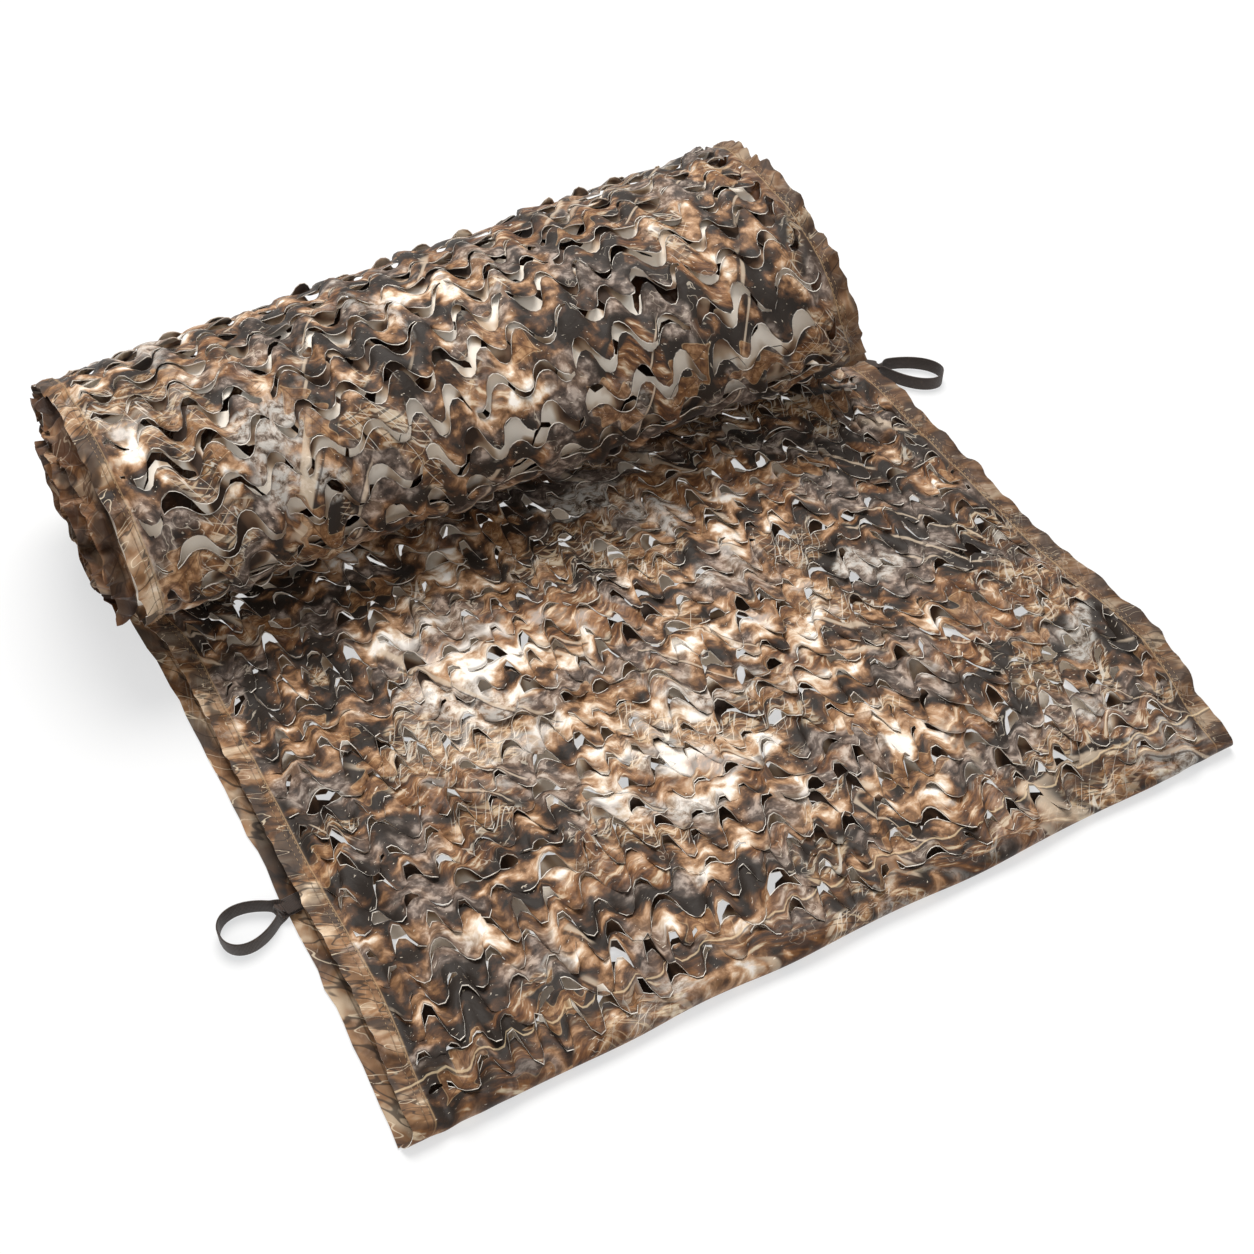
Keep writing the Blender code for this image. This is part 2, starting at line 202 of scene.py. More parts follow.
def leaf_cloth(name, level, uphill, first, last, cuts, looks):
    """A closed thin cloth with rows of wavy cuts, from its flat distances along to its shape.

    uphill is 1 where distances along grow from the fold and -1 where they are counted back to it. Each
    row of cuts has two lips: the front one ends a strip in leaves, the back one starts the next in lobes.
    Of the looks, drift and jumble make the waves uneven, closed shuts a cut between its crests, and tie
    and bridges say how wide and how far apart the uncut bridges are, as angles of the wave. Leaf, dip,
    lobe and arch are how far the lips stand off, lap and tuck how far they slide over and under each
    other, belly is the bulge of a strip. The other looks are plain sizes in metres.
    """
    waves = looks["waves"]
    wave_length = (WIDTH - 2.0 * HEM) / waves
    across = cloth_columns(waves, looks["columns"])
    count = len(across)
    angle = TURN * (across - HEM) / wave_length
    from_side = np.minimum(across, WIDTH - across)
    from_hem = from_side - HEM
    fade = eased(from_hem / CUTS_GROW)
    openings = np.broadcast_to(looks["opening"], len(cuts))
    seed = looks["seed"]
    source = np.random.default_rng(seed)

    def uneven(offset, length):
        """Unevenness from column to column."""
        return wobble(seed + offset, across, 0.0 * across, length)

    # each leaf and lobe gets its own share; there are more shares than waves, as the drift shifts them
    lips = [(None, (np.full(count, first), np.zeros(count), np.zeros(count), 0.0))]
    joined = []
    for row, cut in enumerate(cuts):
        turned = angle + looks["drift"] * uneven(row, 0.05)
        wave, lean = meander(turned)
        crest = np.maximum(wave, 0.0)
        trough = np.maximum(-wave, 0.0)
        at_crest = np.round(turned / TURN).astype(int) + 2
        at_trough = np.floor(turned / TURN).astype(int) + 2
        leaf_share, arch_share = source.uniform(0.3, 1.35, (2, waves + 5))
        lobe_share, dip_share = source.uniform(0.3, 1.5, (2, waves + 5))
        sway = source.uniform(-0.6, 0.6, waves + 5)
        height = looks["height"] * fade * (1.0 + looks["jumble"] * uneven(50 + row, 0.04))
        parted = np.clip(1.0 + looks["uneven"] * uneven(90 + row, 0.045), 0.1, 1.7)
        gap = openings[row] * fade * parted * (1.0 - looks["closed"] * (1.0 - crest ** 0.6))

        # here and there an uncut bridge ties the two lips together, and in the hems the cloth is whole
        bridge = np.zeros(count, bool)
        bridge[:-1] = fade[:-1] * fade[1:] < 0.02
        tied = np.zeros(count)
        held = TURN * source.uniform(0.2, 0.8)
        while held < TURN * waves:
            near_bridge = np.abs(angle - held)
            tied = np.maximum(tied, np.exp(-(near_bridge / 1.1) ** 2))
            bridge |= near_bridge < looks["tie"]
            held += TURN * source.uniform(*looks["bridges"])
        gap = gap * (1.0 - 0.75 * tied)
        sag = ROW_SWAY * wobble(seed + 20, across, 0.0 * across + cut, 0.08) * fade
        middle = cut * uphill + height * wave + sag
        lean = lean * wave_length / TURN * fade

        # leaves and lobes stand off the cloth, each by its own share, and lap over or tuck under
        side = np.sin(turned)
        leaf = looks["leaf"] * crest * leaf_share[at_crest] * (1.0 + sway[at_crest] * side)
        leaf = leaf + looks["dip"] * trough * dip_share[at_trough]
        lobe = looks["lobe"] * trough * lobe_share[at_trough] * (1.0 + sway[at_trough] * side)
        lobe = lobe + looks["arch"] * crest * arch_share[at_crest]
        joint = (leaf + lobe) / 2.0
        leaf, lobe = between((leaf, joint), tied), between((lobe, joint), tied)
        lap = looks["lap"] * trough ** 0.7 * lobe_share[at_trough] * fade * (1.0 - tied)
        tuck = looks["tuck"] * crest * leaf_share[at_crest] * fade * (1.0 - tied)
        flat = (row + 1) * STRIP + height * wave
        front = (middle - gap / 2.0 + tuck, leaf * fade - tuck * 0.2, lean, flat)
        lips.append((front, (middle + gap / 2.0 - lap, lobe * fade, lean, flat)))
        joined.append(bridge)
    lips.append(((np.full(count, last), np.zeros(count), np.zeros(count), (len(cuts) + 1) * STRIP), None))

    rows = []
    steps = looks["rows"]
    for piece, (below, above) in enumerate(zip(lips, lips[1:])):
        start, end = below[1], above[0]
        for step in range(steps + 1):
            share = step / steps
            belly = looks["belly"] * math.sin(math.pi * share) * fade
            lift = start[1] * (1.0 - share) ** 1.7 + end[1] * share ** 1.7 + belly
            height = start[0] + (end[0] - start[0]) * share
            lean = start[2] + (end[2] - start[2]) * share
            flat = start[3] + (end[3] - start[3]) * share
            whole = (joined[piece - 1] if piece else True, joined[piece] if piece < len(cuts) else True)
            to_cut = [np.where(bound, STRIP, np.abs(lip[0] - height))
                      for bound, lip in zip(whole, (start, end))]
            rows.append((height, lift, lean, np.broadcast_to(flat, (count,)), np.minimum(*to_cut)))
    height, lift, lean, flat, to_cut = (np.array(part) for part in zip(*rows))
    along = height * uphill

    # the sides are a little ragged, and the cloth is crumpled, most of all beside the hems
    at_side = eased(1.0 - from_side / 0.012) * np.sign(across - WIDTH / 2.0)
    ragged = wobble(seed + 5, along, 0.0 * along, 0.006) + wobble(seed + 6, along, 0.0 * along, 0.020)
    wide = across + lean + ragged * looks["ragged"] * at_side
    beside_hem = fade * np.exp(-((from_hem - 0.016) / 0.020) ** 2)
    crumple = wobble(seed + 7, wide, along, 0.030) * looks["crumple"] * eased(from_hem / 0.008)
    crumple = crumple + wobble(seed + 9, wide, along, 0.012) * looks["jumbled"] * beside_hem
    raised = looks.get("raised", 0.0) * (0.3 + 0.7 * eased(from_hem / 0.030))
    lift = lift + crumple + hem_lift(seed + 8, wide, along, *looks["pucker"]) + raised
    points = cloth_points(level, wide, along, lift)
    if "start_rows" in looks:
        fold_points, fold_flat = looks["start_rows"](points[0], wide[0])
        points = np.concatenate((fold_points, points))
        flat = np.concatenate((fold_flat, flat))
        wide = np.concatenate((np.broadcast_to(wide[0], fold_flat.shape), wide))
        to_cut = np.concatenate((np.full(fold_flat.shape, STRIP), to_cut))
    extra = len(points) - len(rows)

    # faces between the rows of points; across a cut there are none but at the bridges
    faces = []
    grid = np.arange(points.shape[0] * count).reshape(-1, count)
    for row in range(points.shape[0] - 1):
        corners = np.stack((grid[row, :-1], grid[row, 1:], grid[row + 1, 1:], grid[row + 1, :-1]), axis=-1)
        strip, step = divmod(row - extra, steps + 1)
        if row >= extra and step == steps:
            corners = corners[joined[strip][:-1]]
        faces.append(corners)
    faces = np.concatenate(faces)
    if (uphill > 0) != bool(level):
        faces = faces[:, ::-1]
    flat = flat * uphill + looks["print_from"]
    return cloth_object(name, points.reshape(-1, 3), faces, wide.ravel(), flat.ravel(), to_cut.ravel())


def cloth_object(name, points, faces, wide, flat, to_cut):
    """An object of thin cloth: printed face, back and cut edges, flat distances and distance to a cut."""
    used, renumbered = np.unique(faces, return_inverse=True)
    mesh = bpy.data.meshes.new(name)
    mesh.from_pydata(points[used].tolist(), [], renumbered.reshape(-1, 4).tolist())
    layer = mesh.uv_layers.new(name="flat cloth")
    corner_points = faces.ravel()
    uv = np.stack((wide[corner_points], flat[corner_points]), axis=-1)
    layer.data.foreach_set("uv", uv.ravel().astype(np.float32))
    layer = mesh.uv_layers.new(name="to cut")
    uv = np.stack((to_cut[corner_points], 0.0 * to_cut[corner_points]), axis=-1)
    layer.data.foreach_set("uv", uv.ravel().astype(np.float32))
    for finish in (PRINTED, CLOTH_BACK, CUT_EDGE):
        mesh.materials.append(finish)
    cloth = bpy.data.objects.new(name, mesh)
    bpy.context.collection.objects.link(cloth)
    mesh.shade_smooth()
    body = cloth.modifiers.new("thickness", "SOLIDIFY")
    body.thickness = CLOTH
    body.offset = 0.0
    body.material_offset = 1
    body.material_offset_rim = 2
    bpy.ops.object.select_all(action="DESELECT")
    bpy.context.view_layer.objects.active = cloth
    cloth.select_set(True)
    bpy.ops.object.modifier_apply(modifier=body.name)

    # the hem's turned-under side shows the print, not the back, and has no cut edge
    turned_under = np.zeros(len(mesh.loops) * 2, np.float32)
    mesh.uv_layers["flat cloth"].data.foreach_get("uv", turned_under)
    for face in mesh.polygons:
        from_middle = abs(turned_under[face.loop_start * 2] - WIDTH / 2.0)
        hem_side = face.material_index == 1 and from_middle > WIDTH / 2.0 - HEM
        if hem_side or (face.material_index == 2 and from_middle > WIDTH / 2.0 - 0.0003):
            face.material_index = 0
    bpy.ops.object.shade_smooth_by_angle(angle=math.radians(50.0))
    return cloth


def linear(code):
    """A colour written as on screen, in the linear numbers that a shader takes."""
    parts = [int(code[i:i + 2], 16) / 255.0 for i in (1, 3, 5)]
    return tuple(p / 12.92 if p <= 0.04045 else ((p + 0.055) / 1.055) ** 2.4 for p in parts) + (1.0,)


# settings of the commonest nodes: sums, a change eased between two values, and a mix of two colours
OPERATIONS = ("ADD", "SUBTRACT", "MULTIPLY", "MULTIPLY_ADD", "ABSOLUTE", "SINE", "MAXIMUM")
ADD, SUBTRACT, MULTIPLY, MULTIPLY_ADD, ABSOLUTE, SINE, MAXIMUM = (
    {"operation": operation} for operation in OPERATIONS)
EASED = {"interpolation_type": "SMOOTHSTEP"}
COLOURS = {"data_type": "RGBA"}


def add_node(tree, kind, settings=None, *first_inputs, **inputs):
    """A node with its settings and links; a node given as an input is linked by its first output.

    Inputs are given in their order, by name, or by number as in6. Stops are the positions and colours
    that a colour ramp runs through.
    """
    node = tree.nodes.new("ShaderNode" + kind)
    for key, value in (settings or {}).items():
        if key != "stops":
            setattr(node, key, value)
            continue
        elements = node.color_ramp.elements
        for position, code in value[1:-1]:
            elements.new(position).color = linear(code)
        ends = (elements[0], value[0]), (elements[len(elements) - 1], value[-1])
        for element, (position, code) in ends:
            element.position = position
            element.color = linear(code)
    sockets = list(zip(node.inputs, first_inputs))
    for key, value in inputs.items():
        name = int(key[2:]) if key.startswith("in") else key.replace("_", " ")
        sockets.append((node.inputs[name], value))
    for socket, value in sockets:
        if isinstance(value, bpy.types.Node):
            value = value.outputs[0]
        if isinstance(value, bpy.types.NodeSocket):
            tree.links.new(value, socket)
        else:
            socket.default_value = value
    return node


def new_material(name, roughness, sheen=0.0):
    """A material with its tree and its shader."""
    material = bpy.data.materials.new(name)
    material.use_nodes = True
    shader = material.node_tree.nodes["Principled BSDF"]
    shader.inputs["Roughness"].default_value = roughness
    shader.inputs["Sheen Weight"].default_value = sheen
    return material, material.node_tree, shader


def masked(tree, mask, share, first, second):
    """A second colour laid over the first where the mask is, at a share of its strength."""
    strength = add_node(tree, "Math", MULTIPLY, mask, share)
    return add_node(tree, "Mix", COLOURS, strength, in6=first, in7=second).outputs[2]


def blots(tree, place, low, high, **clouds):
    """Soft-edged blots, where clouds pass between two levels; Scale is in bumps a metre."""
    cloudy = add_node(tree, "TexNoise", None, place, **clouds)
    return add_node(tree, "MapRange", EASED, cloudy, low, high)


def contour(tree, value, level, width):
    """Fine lines where a cloudy value crosses a level."""
    off = add_node(tree, "Math", ABSOLUTE, add_node(tree, "Math", SUBTRACT, value, level))
    return add_node(tree, "MapRange", EASED, off, width, width * 0.35)


def lines_in(tree, zone, value, level, width):
    """Those fine lines within one zone of the print."""
    return add_node(tree, "Math", MULTIPLY, contour(tree, value, level, width), zone)


def stretched(tree, place, degrees, long, fine, detail=3.0):
    """Cloudy streaks at an angle across the cloth; long and fine are streaks a metre each way."""
    turned = add_node(tree, "Mapping", {"vector_type": "TEXTURE"}, place,
                      Rotation=(0.0, 0.0, math.radians(degrees)), Scale=(1.0 / long, 1.0 / fine, 1.0))
    return add_node(tree, "TexNoise", None, turned, Scale=1.0, Detail=detail, Roughness=0.6)


def winding(tree, place, scale, reach):
    """Places on the cloth, shifted to and fro by clouds, so that what is drawn on them winds."""
    clouds = add_node(tree, "TexNoise", None, place, Scale=scale).outputs[1]
    return add_node(tree, "VectorMath", MULTIPLY_ADD, clouds, (reach, reach, 0.0), place)


def round_patch(tree, place, middle, outside, inside):
    """1 within one distance of a middle, 0 beyond another, eased between."""
    away = add_node(tree, "VectorMath", {"operation": "DISTANCE"}, place, middle).outputs[1]
    return add_node(tree, "MapRange", EASED, away, outside, inside)


# The print is laid out by flat distances: across the cloth, and along it from the fold. The open stretch
# has 0 to 0.45, the wrap has its own piece of print from -0.90 down, and the turns inside lie beyond 1.5.
PRINT_ON_WRAP = -0.90
PRINT_INSIDE = 1.2
WRAP_PRINT_EDGE = -0.5
CLEARING = (0.23, 0.215, 0.0)

# printed polyester cloth with a slight gloss: a woodland print of soft cream, tan, grey and dark blots
PRINTED, tree, shader = new_material("printed polyester cloth", 0.62, 0.05)
shader.inputs["Specular IOR Level"].default_value = 0.38
flat = add_node(tree, "UVMap", {"uv_map": "flat cloth"})
across, along, _ = add_node(tree, "SeparateXYZ", None, flat).outputs
bend = winding(tree, flat, 60.0, 0.009)
clouds = add_node(tree, "TexNoise", None, flat, Scale=10.0, Detail=1.0)
clouds = add_node(tree, "Math", SUBTRACT, clouds, 0.5)
tone = add_node(tree, "Math", MULTIPLY_ADD, clouds, 0.6, add_node(tree, "TexNoise", None, bend, Scale=44.0))
fine = add_node(tree, "TexNoise", None, bend, Scale=150.0, Detail=3.0, Roughness=0.6)
tone = add_node(tree, "Math", MULTIPLY_ADD, add_node(tree, "Math", SUBTRACT, fine, 0.5), 0.38, tone)

# it is lightest in a clearing of the open stretch and a little darker towards its sides; then painted shade
# and light
in_clearing = round_patch(tree, flat, CLEARING, 0.23, 0.08)
tone = add_node(tree, "Math", ADD, tone, add_node(tree, "Math", MULTIPLY_ADD, in_clearing, 0.104, -0.104))
from_middle = add_node(tree, "Math", ABSOLUTE, add_node(tree, "Math", SUBTRACT, across, WIDTH / 2.0))
off_roll = add_node(tree, "MapRange", EASED, along, WRAP_PRINT_EDGE, WRAP_PRINT_EDGE + 0.1)
at_sides = add_node(tree, "MapRange", EASED, from_middle, 0.155, 0.215)
at_sides = add_node(tree, "Math", MULTIPLY, at_sides, off_roll)
tone = add_node(tree, "Math", MULTIPLY_ADD, at_sides, -0.034, tone)
# painted shade: the print is darker towards the right
right_painted_shade = add_node(tree, "MapRange", EASED, across, 0.16, 0.46)
tone = add_node(tree, "Math", MULTIPLY_ADD, right_painted_shade, -0.055, tone)
# painted shade: the print is darker on the roll, whose front faces away from the lamp, and a touch darker
# all over
on_roll = add_node(tree, "MapRange", EASED, along, WRAP_PRINT_EDGE, WRAP_PRINT_EDGE - 0.1)
tone = add_node(tree, "Math", MULTIPLY_ADD, on_roll, -0.018, add_node(tree, "Math", ADD, tone, -0.008))
# painted light: the print is lighter at the wrap's left
wrap_left_painted_light = add_node(tree, "MapRange", EASED, across, 0.20, 0.09)
wrap_left_painted_light = add_node(tree, "Math", MULTIPLY, wrap_left_painted_light, on_roll)
tone = add_node(tree, "Math", MULTIPLY_ADD, wrap_left_painted_light, 0.045, tone)
stops = ((0.32, "#20160e"), (0.40, "#503726"), (0.45, "#836145"), (0.51, "#ba9576"), (0.57, "#e4cfb8"),
         (0.63, "#fdf6ee"))
colour = add_node(tree, "ValToRGB", {"stops": stops}, tone)
stops = ((0.34, "#352b26"), (0.49, "#6a5b52"), (0.64, "#bbaca1"))
grey = add_node(tree, "ValToRGB", {"stops": stops}, fine)
colour = masked(tree, blots(tree, bend, 0.51, 0.60, Scale=23.0), 0.78, colour, grey)

# bark and moss: frosty crackle in patches
frost = blots(tree, flat, 0.600, 0.640, Scale=12.0, Distortion=0.5)
crackle = add_node(tree, "TexNoise", None, bend, Scale=190.0, Detail=4.0, Roughness=0.68)
stops = ((0.38, "#4a3a2d"), (0.46, "#b5a596"), (0.56, "#f7f2ea"))
crackle = add_node(tree, "ValToRGB", {"stops": stops}, crackle)
colour = masked(tree, frost, 0.48, colour, crackle)

# dead leaves and grass: rust brown fibres in patches, scrub edged with fine dark and pale lines, litter
# with blades across it, and twigs as long narrow streaks that run askew
rust_zone = blots(tree, bend, 0.56, 0.60, Scale=15.0, Roughness=0.55, Distortion=0.3)
stops = ((0.34, "#2a170c"), (0.46, "#6b452b"), (0.56, "#a07450"), (0.66, "#f3dec2"))
rust = add_node(tree, "ValToRGB", {"stops": stops}, stretched(tree, bend, 38.0, 60.0, 210.0))
colour = masked(tree, rust_zone, 0.66, colour, rust)
scrub = blots(tree, flat, 0.54, 0.58, Scale=14.0, Detail=1.0, Distortion=0.8)
wild = winding(tree, flat, 75.0, 0.030)
wild = add_node(tree, "TexNoise", None, wild, Scale=60.0, Detail=1.5)
for level, width, strength, code in ((0.46, 0.012, 0.50, "#2a1a10"), (0.57, 0.010, 0.40, "#f3e6d2")):
    colour = masked(tree, lines_in(tree, scrub, wild, level, width), strength, colour, linear(code))
litter_zone = blots(tree, bend, 0.565, 0.600, Scale=13.0, Roughness=0.6, Distortion=0.6)
litter = add_node(tree, "TexNoise", None, bend, Scale=110.0, Detail=3.0, Roughness=0.6)
stops = ((0.36, "#21140c"), (0.48, "#67442b"), (0.58, "#a88059"), (0.66, "#f0dcc0"))
litter = add_node(tree, "ValToRGB", {"stops": stops}, litter)
for degrees, level, width, code in ((25.0, 0.50, 0.026, "#ead8bf"), (-40.0, 0.54, 0.020, "#dcc3a2"),
                                    (-12.0, 0.47, 0.034, "#1e120a"), (62.0, 0.52, 0.014, "#fbf4e6")):
    blades = contour(tree, stretched(tree, flat, degrees, 15.0, 130.0, 1.0), level, width)
    litter = masked(tree, blades, 0.80, litter, linear(code))
colour = masked(tree, litter_zone, 0.62, colour, litter)
twigs = stretched(tree, flat, -50.0, 2.5, 22.0, 1.0)
copse = blots(tree, flat, 0.53, 0.56, Scale=11.0, Detail=1.0, Distortion=1.1)
for level, width, code in ((0.50, 0.013, "#cdbba6"), (0.482, 0.007, "#2c1f16")):
    colour = masked(tree, lines_in(tree, copse, twigs, level, width), 0.70, colour, linear(code))

# leaves: in some cells of 50 mm one leaf 45 mm long, turned its own way, lobed and veined
LEAF_HALF = 0.0225
cells = add_node(tree, "TexVoronoi", {"voronoi_dimensions": "2D"}, flat, Scale=20.0, Randomness=0.8)
centre = add_node(tree, "VectorMath", SUBTRACT, flat, cells.outputs[2])
heading, chance, _ = add_node(tree, "SeparateColor", None, cells.outputs[1]).outputs
turned = add_node(tree, "VectorRotate", {"rotation_type": "Z_AXIS"}, centre,
                  Angle=add_node(tree, "Math", MULTIPLY, heading, 6.28))
length, side, _ = add_node(tree, "SeparateXYZ", None, turned).outputs
length_share = add_node(tree, "Math", MULTIPLY, length, 1.0 / LEAF_HALF)
side = add_node(tree, "Math", ABSOLUTE, side)
bow = add_node(tree, "Math", SUBTRACT, 1.0, add_node(tree, "Math", MULTIPLY, length_share, length_share))
lobes = add_node(tree, "Math", MULTIPLY, length_share, 9.5)
lobes = add_node(tree, "Math", SINE, add_node(tree, "Math", MULTIPLY_ADD, side, -165.0, lobes))
reach = add_node(tree, "Math", MULTIPLY, bow, add_node(tree, "Math", MULTIPLY_ADD, lobes, 0.0040, 0.0088))
inside = add_node(tree, "Math", SUBTRACT, reach, side)
chosen = add_node(tree, "MapRange", EASED, chance, 0.60, 0.61)
leaf = add_node(tree, "Math", MULTIPLY, add_node(tree, "MapRange", EASED, inside, 0.0, 0.0008), chosen)
veins = add_node(tree, "Math", MULTIPLY, add_node(tree, "Math", SUBTRACT, length, side), 1000.0)
veins = add_node(tree, "MapRange", EASED, add_node(tree, "Math", SINE, veins), 0.93, 1.0)
veins = add_node(tree, "Math", MAXIMUM, veins, add_node(tree, "MapRange", EASED, side, 0.0006, 0.0002))
stops = ((0.34, "#5a3a24"), (0.50, "#8c6443"), (0.66, "#c39c76"))
dry = masked(tree, veins, 0.7, add_node(tree, "ValToRGB", {"stops": stops}, fine), linear("#54331b"))
rim = add_node(tree, "MapRange", EASED, inside, 0.0012, 0.0004)
dry = masked(tree, rim, 0.5, dry, linear("#e6cda6"))
colour = masked(tree, leaf, 0.70, colour, dry)

# short pale flecks on the dark parts of the print
flecks = add_node(tree, "MapRange", EASED, stretched(tree, bend, 30.0, 230.0, 620.0), 0.66, 0.70)
flecks = add_node(tree, "Math", MULTIPLY, flecks, add_node(tree, "MapRange", EASED, tone, 0.62, 0.50))
colour = masked(tree, flecks, 0.75, colour, linear("#f0e4d2"))

# the hems: golden brown print with dark blots and blades of grass; the right one is darker, partly painted
# shade
edge = WIDTH / 2.0 - HEM
hems = add_node(tree, "MapRange", EASED, from_middle, edge - 0.001, edge + 0.002)
stops = ((0.34, "#20140c"), (0.44, "#66452a"), (0.53, "#a77f5c"), (0.64, "#ead2b5"))
golden = add_node(tree, "ValToRGB", {"stops": stops}, stretched(tree, bend, -24.0, 26.0, 60.0))
colour = masked(tree, hems, 0.68, colour, golden)
dark = blots(tree, bend, 0.51, 0.58, Scale=38.0, Distortion=0.2)
dark = add_node(tree, "Math", MULTIPLY, dark, hems)
colour = masked(tree, dark, 0.80, colour, linear("#3b322c"))
for heading, long, thin, level, width, strength, code in (
        (-30.0, 18.0, 70.0, 0.50, 0.014, 0.75, "#21140b"),
        (-22.0, 22.0, 90.0, 0.58, 0.008, 0.60, "#f0dfc4")):
    grass = stretched(tree, flat, heading, long, thin, 2.0)
    colour = masked(tree, lines_in(tree, hems, grass, level, width), strength, colour, linear(code))
# the right hem is darker: dark brown print that partly stands for painted shade
right_hem_print_and_shade = add_node(tree, "MapRange", EASED, across, 0.478, 0.488)
colour = masked(tree, right_hem_print_and_shade, 0.45, colour, linear("#38210f"))

# two sewn lines show as a fine painted shadow along each hem, the inner one with a painted highlight on its
# edge
for seam, code in ((SEAMS[1], "#1f140c"), (SEAMS[1] + 0.0009, "#b79a76"), (SEAMS[0], "#2a1c12")):
    line = contour(tree, from_middle, WIDTH / 2.0 - seam, 0.0005)
    colour = masked(tree, line, 0.45, colour, linear(code))

# along the fold the print is rust brown and streaky, and a seam runs there
near_fold = add_node(tree, "Math", ABSOLUTE, add_node(tree, "Math", SUBTRACT, along, 0.004))
near_fold = add_node(tree, "MapRange", EASED, near_fold, 0.034, 0.014)
near_fold = add_node(tree, "Math", MULTIPLY, near_fold, blots(tree, flat, 0.42, 0.56, Scale=26.0))
stops = ((0.40, "#1e1109"), (0.50, "#4f2f19"), (0.58, "#8d5f38"), (0.65, "#f0dcbd"))
streaks = add_node(tree, "ValToRGB", {"stops": stops}, stretched(tree, flat, -14.0, 40.0, 170.0))
colour = masked(tree, near_fold, 0.55, colour, streaks)
for seam, code in ((0.0265, "#2a1c12"), (0.0280, "#e2cba8")):
    colour = masked(tree, contour(tree, along, seam, 0.0009), 0.55, colour, linear(code))

# the far end of the cloth, inside the roll, is printed darker rust brown, partly painted shade of the
# roll's inside, with near-black blots of painted shade for the crevices between the turns
inner_end = add_node(tree, "MapRange", EASED, add_node(tree, "Math", ABSOLUTE, along), 1.5, 1.8)
colour = masked(tree, inner_end, 0.42, colour, linear("#6b3f20"))
# near-black blots: painted shade in the crevices between the turns
crevice_painted_shade = add_node(tree, "Math", MULTIPLY, blots(tree, flat, 0.47, 0.56, Scale=55.0), inner_end)
colour = masked(tree, crevice_painted_shade, 0.70, colour, linear("#150c07"))

# the cut edges show as a fine pale line, broken here and there, partly a painted highlight, with a rim of
# painted shade behind it
to_cut = add_node(tree, "UVMap", {"uv_map": "to cut"})
to_cut = add_node(tree, "SeparateXYZ", None, to_cut)
# painted shade along each cut, where the lips overlap and hollow
shade_behind_cut = add_node(tree, "MapRange", EASED, to_cut, 0.0026, 0.0006)
colour = masked(tree, shade_behind_cut, 0.52, colour, linear("#21150d"))
# the pale line is the melted edge, brightened in part as a painted highlight
pale_line = add_node(tree, "MapRange", EASED, to_cut, 0.00044, 0.00030)
pale_line = add_node(tree, "Math", MULTIPLY, pale_line, blots(tree, flat, 0.43, 0.55, Scale=85.0))
colour = masked(tree, pale_line, 0.95, colour, linear("#fff8ee"))

# the dyes are a little stronger than mixed above
colour = add_node(tree, "HueSaturation", None, Saturation=1.08, Color=colour)
tree.links.new(colour.outputs[0], shader.inputs["Base Color"])

# fine creases, and the weave: threads drawn 0.4 mm apart, as the real 0.2 mm would be too fine to see
crease = add_node(tree, "TexNoise", None, flat, Scale=150.0, Detail=3.0, Roughness=0.6, Distortion=0.4)
weave = add_node(tree, "TexNoise", None, flat, Scale=2600.0, Detail=1.0)
relief = add_node(tree, "Math", MULTIPLY_ADD, weave, 0.08, crease)
bump = add_node(tree, "Bump", None, Strength=0.4, Distance=0.0014, Height=relief)
tree.links.new(bump.outputs[0], shader.inputs["Normal"])

# the cloth's back: off-white polyester, stained brown where the print has struck through, the brown blots
# partly painted shade for where it lies under the raised cloth; it has a clean patch that shows through the
# cuts beside the open stretch's right hem
CLEAN_PATCH = (0.448, -0.165, 0.0)
CLOTH_BACK, tree, shader = new_material("off-white cloth back", 0.8, 0.1)
flat = add_node(tree, "UVMap", {"uv_map": "flat cloth"})
_, along, _ = add_node(tree, "SeparateXYZ", None, flat).outputs
clean = add_node(tree, "MapRange", EASED, along, 1.84, 1.92)
clean = add_node(tree, "Math", MULTIPLY_ADD, clean, 0.06, -0.27)
patch = round_patch(tree, flat, CLEAN_PATCH, 0.045, 0.020)
clean = add_node(tree, "Math", MULTIPLY_ADD, patch, 0.25, clean)
# brown blots: print struck through, partly painted shade
struck_through_and_shade = add_node(tree, "TexNoise", None, flat, Scale=34.0, Distortion=0.3)
struck_through_and_shade = add_node(tree, "Math", MULTIPLY_ADD, struck_through_and_shade, 1.7, clean)
stops = ((0.42, "#3a281b"), (0.50, "#775a44"), (0.59, "#c6ad92"), (0.68, "#fff6e9"))
colour = add_node(tree, "ValToRGB", {"stops": stops}, struck_through_and_shade)
tree.links.new(colour.outputs[0], shader.inputs["Base Color"])
crease = add_node(tree, "TexNoise", None, flat, Scale=180.0, Detail=3.0)
bump = add_node(tree, "Bump", None, Strength=0.25, Distance=0.001, Height=crease)
tree.links.new(bump.outputs[0], shader.inputs["Normal"])

# the cut edge: undyed polyester melted by the cutting, pale and slightly glossy
CUT_EDGE, tree, shader = new_material("melted polyester edge", 0.42)
flat = add_node(tree, "UVMap", {"uv_map": "flat cloth"})
melted = add_node(tree, "TexNoise", None, flat, Scale=160.0)
colour = add_node(tree, "Mix", COLOURS, melted, in6=linear("#c4b09a"), in7=linear("#fffaf2"))
tree.links.new(colour.outputs[2], shader.inputs["Base Color"])

